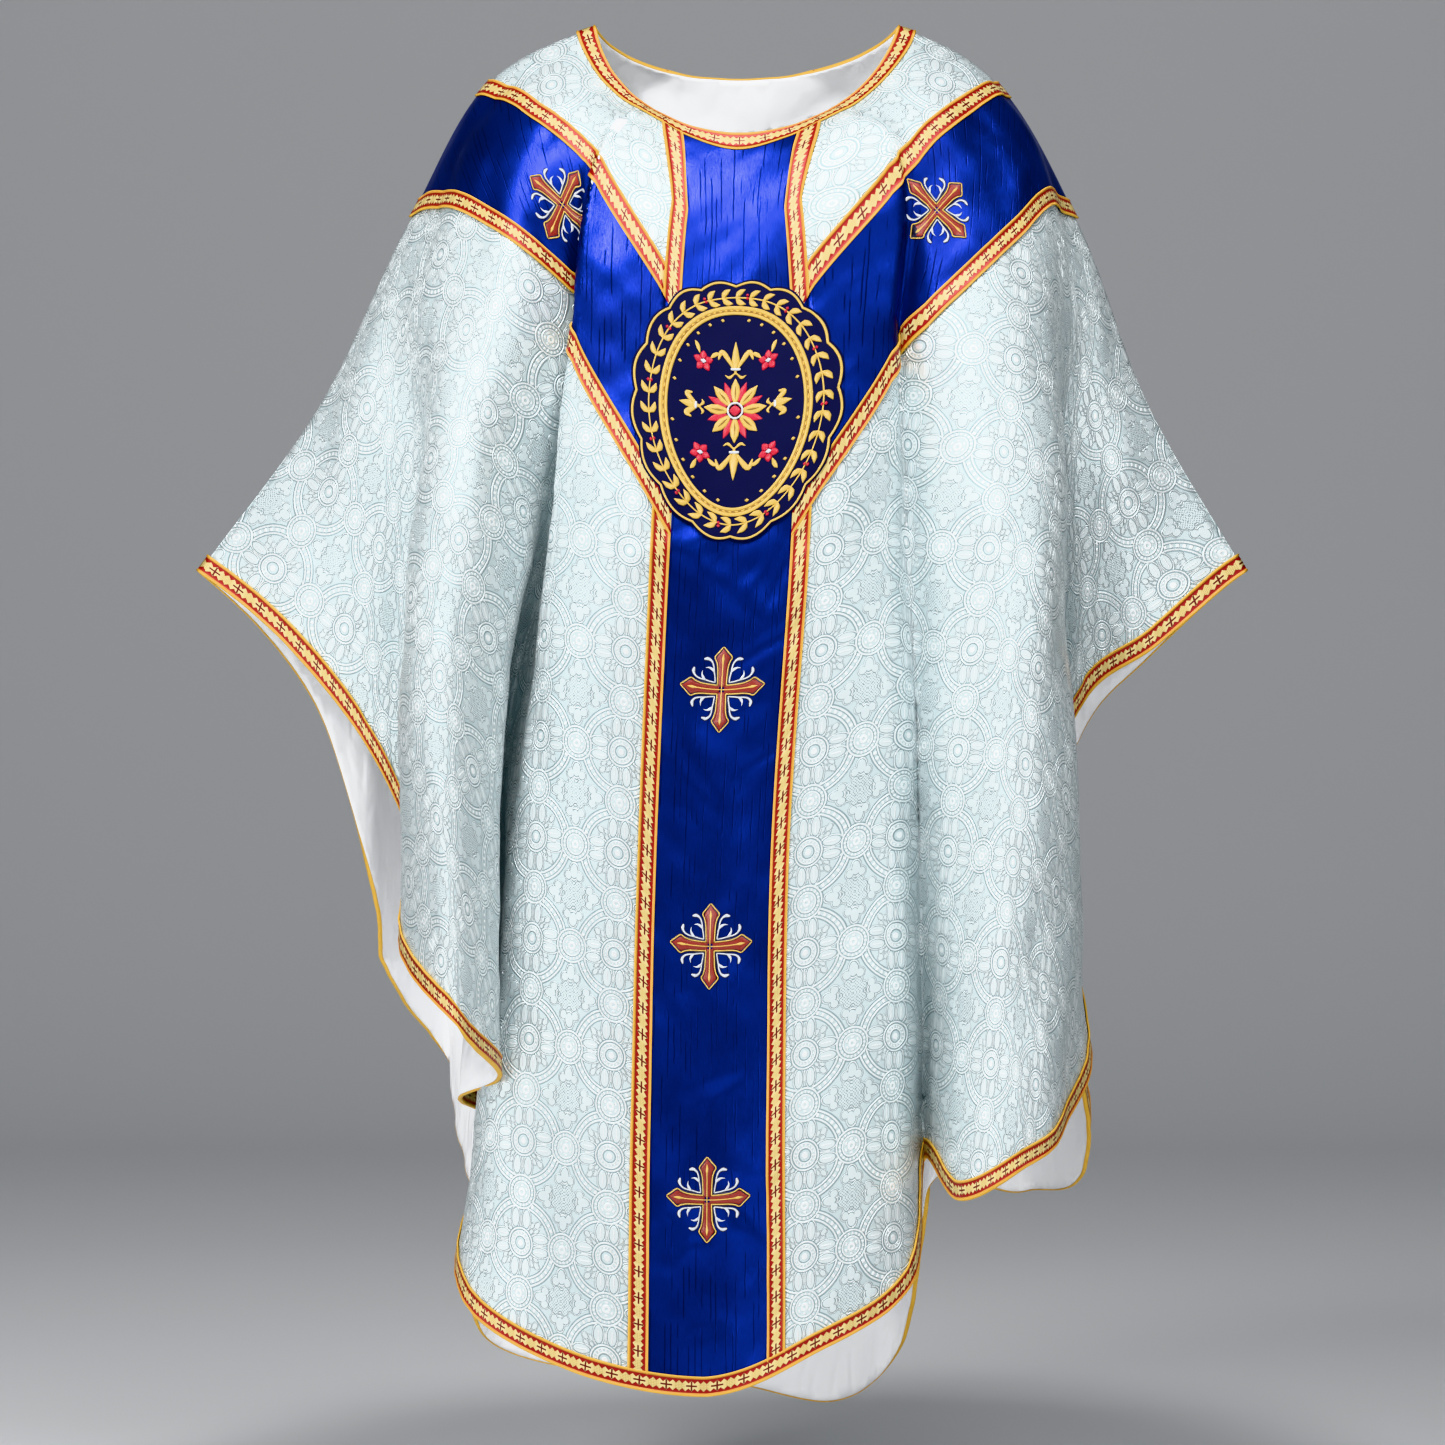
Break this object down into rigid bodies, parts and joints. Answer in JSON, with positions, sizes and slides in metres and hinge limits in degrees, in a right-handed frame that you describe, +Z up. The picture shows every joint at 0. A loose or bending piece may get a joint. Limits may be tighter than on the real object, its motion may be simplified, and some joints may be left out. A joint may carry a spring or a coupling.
{
  "type": "gothic chasuble",
  "caption": "Lined gothic chasuble of white brocade with a blue Y orphrey, braid, crosses and an oval chest patch, filled out as worn with open neck, hem and sides.",
  "frame": {"origin": "middle of the neck hole at shoulder height, where the wearer's shoulders hold the garment", "axes": "+Z up, the front of the garment faces -Y, the arms point along X"},
  "size_m": [1.0404, 0.465, 1.3818],
  "materials": {
    "brocade": "white and silver satin roundel brocade",
    "lining": "plain white satin lining",
    "blue": "royal blue shantung with upright slubs",
    "braid": "gold and red woven galloon",
    "emblem": "navy cloth with padded gold and red embroidery",
    "cross": "rust red satin stitch edged with gold and silver"
  },
  "bodies": {
    "root": {"front_panel": "brocade", "front_column": "blue", "front_neck_braid": "braid", "front_hem_braid": "braid", "front_arm_left": "blue", "front_upper_braid_left": "braid", "front_v_braid_left": "braid", "front_arm_braid_left": "braid", "front_column_braid_left": "braid", "front_arm_right": "blue", "front_upper_braid_right": "braid", "front_v_braid_right": "braid", "front_arm_braid_right": "braid", "front_column_braid_right": "braid", "back_panel": "brocade", "back_column": "blue", "back_neck_braid": "braid", "back_hem_braid": "braid", "back_arm_left": "blue", "back_upper_braid_left": "braid", "back_v_braid_left": "braid", "back_arm_braid_left": "braid", "back_column_braid_left": "braid", "back_arm_right": "blue", "back_upper_braid_right": "braid", "back_v_braid_right": "braid", "back_arm_braid_right": "braid", "back_column_braid_right": "braid", "back_lining": "lining", "neck_facing": "lining", "medallion": "emblem", "column_cross_1": "cross", "column_cross_2": "cross", "column_cross_3": "cross", "arm_cross_left": "cross", "arm_cross_right": "cross"}
  },
  "joints": []
}
